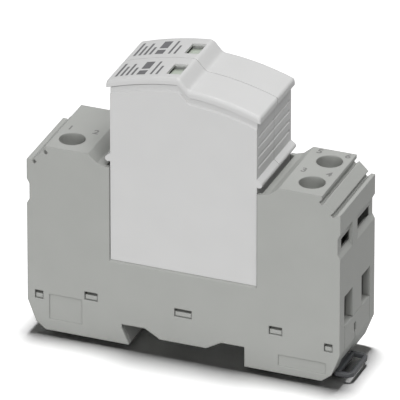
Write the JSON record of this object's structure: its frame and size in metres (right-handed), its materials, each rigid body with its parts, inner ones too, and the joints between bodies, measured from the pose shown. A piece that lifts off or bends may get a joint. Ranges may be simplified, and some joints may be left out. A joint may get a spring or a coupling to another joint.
{
  "type": "din rail surge arrester",
  "caption": "Surge arrester for a top-hat rail: grey base with terminal towers and a foot latch, holding pull-out pale plugs with status windows.",
  "frame": {"origin": "middle of the rail seat, on the plane that rests against the rail's flanges", "axes": "+X across the rail towards the latch, +Y along the rail, +Z away from the rail"},
  "size_m": [0.0922, 0.026, 0.0828],
  "materials": {
    "housing_plastic": "satin moulded, light grey",
    "plug_plastic": "satin moulded, pale grey",
    "latch_plastic": "satin moulded, dark grey",
    "plated_steel": "zinc plated",
    "contact_brass": "rolled strip",
    "varistor_body": "epoxy coated",
    "flag_green": "satin moulded, green",
    "field_red": "satin moulded, red"
  },
  "bodies": {
    "base": {"housing": "housing_plastic", "floor_tray": "housing_plastic", "common_bar": "contact_brass", "near_bar": "contact_brass", "far_bar": "contact_brass", "left_near_clip": "contact_brass", "left_far_clip": "contact_brass", "right_near_clip": "contact_brass", "right_far_clip": "contact_brass"},
    "latch": {"foot_latch": "latch_plastic"},
    "left_screw": {"left_terminal_screw": "plated_steel"},
    "left_cage": {"left_clamp_cage": "plated_steel"},
    "near_screw": {"near_terminal_screw": "plated_steel"},
    "near_cage": {"near_clamp_cage": "plated_steel"},
    "far_screw": {"far_terminal_screw": "plated_steel"},
    "far_cage": {"far_clamp_cage": "plated_steel"},
    "near_plug": {"near_plug_shell": "plug_plastic", "near_plug_cap": "plug_plastic", "near_varistor": "varistor_body", "near_left_blade": "contact_brass", "near_right_blade": "contact_brass", "near_red_field": "field_red", "near_trip_spring": "plated_steel"},
    "near_flag": {"near_flag_slide": "flag_green"},
    "far_plug": {"far_plug_shell": "plug_plastic", "far_plug_cap": "plug_plastic", "far_varistor": "varistor_body", "far_left_blade": "contact_brass", "far_right_blade": "contact_brass", "far_red_field": "field_red", "far_trip_spring": "plated_steel"},
    "far_flag": {"far_flag_slide": "flag_green"}
  },
  "joints": [
    {"name": "latch_pull", "type": "slide", "parent": "base", "child": "latch", "axis": [1, 0, 0], "range_m": [0, 0.0042]},
    {"name": "left_screw_turn", "type": "hinge", "parent": "base", "child": "left_screw", "pos_m": [-0.0344, -0.0065, 0.04], "axis": [0, 0, -1], "range_deg": [0, 2250]},
    {"name": "left_cage_rise", "type": "slide", "parent": "base", "child": "left_cage", "axis": [0, 0, 1], "range_m": [0, 0.005]},
    {"name": "near_screw_turn", "type": "hinge", "parent": "base", "child": "near_screw", "pos_m": [0.0344, -0.0065, 0.04], "axis": [0, 0, -1], "range_deg": [0, 2250]},
    {"name": "near_cage_rise", "type": "slide", "parent": "base", "child": "near_cage", "axis": [0, 0, 1], "range_m": [0, 0.005]},
    {"name": "far_screw_turn", "type": "hinge", "parent": "base", "child": "far_screw", "pos_m": [0.0344, 0.0065, 0.04], "axis": [0, 0, -1], "range_deg": [0, 2250]},
    {"name": "far_cage_rise", "type": "slide", "parent": "base", "child": "far_cage", "axis": [0, 0, 1], "range_m": [0, 0.005]},
    {"name": "near_plug_pull", "type": "slide", "parent": "base", "child": "near_plug", "axis": [0, 0, 1], "range_m": [0, 0.046]},
    {"name": "near_flag_trip", "type": "slide", "parent": "near_plug", "child": "near_flag", "axis": [-1, 0, 0], "range_m": [0, 0.0043]},
    {"name": "far_plug_pull", "type": "slide", "parent": "base", "child": "far_plug", "axis": [0, 0, 1], "range_m": [0, 0.046]},
    {"name": "far_flag_trip", "type": "slide", "parent": "far_plug", "child": "far_flag", "axis": [-1, 0, 0], "range_m": [0, 0.0043]}
  ],
  "couplings": [
    {"joint": "left_screw_turn", "follows": "left_cage_rise", "rad_per_m": 7853.9},
    {"joint": "near_screw_turn", "follows": "near_cage_rise", "rad_per_m": 7853.9},
    {"joint": "far_screw_turn", "follows": "far_cage_rise", "rad_per_m": 7853.9}
  ]
}
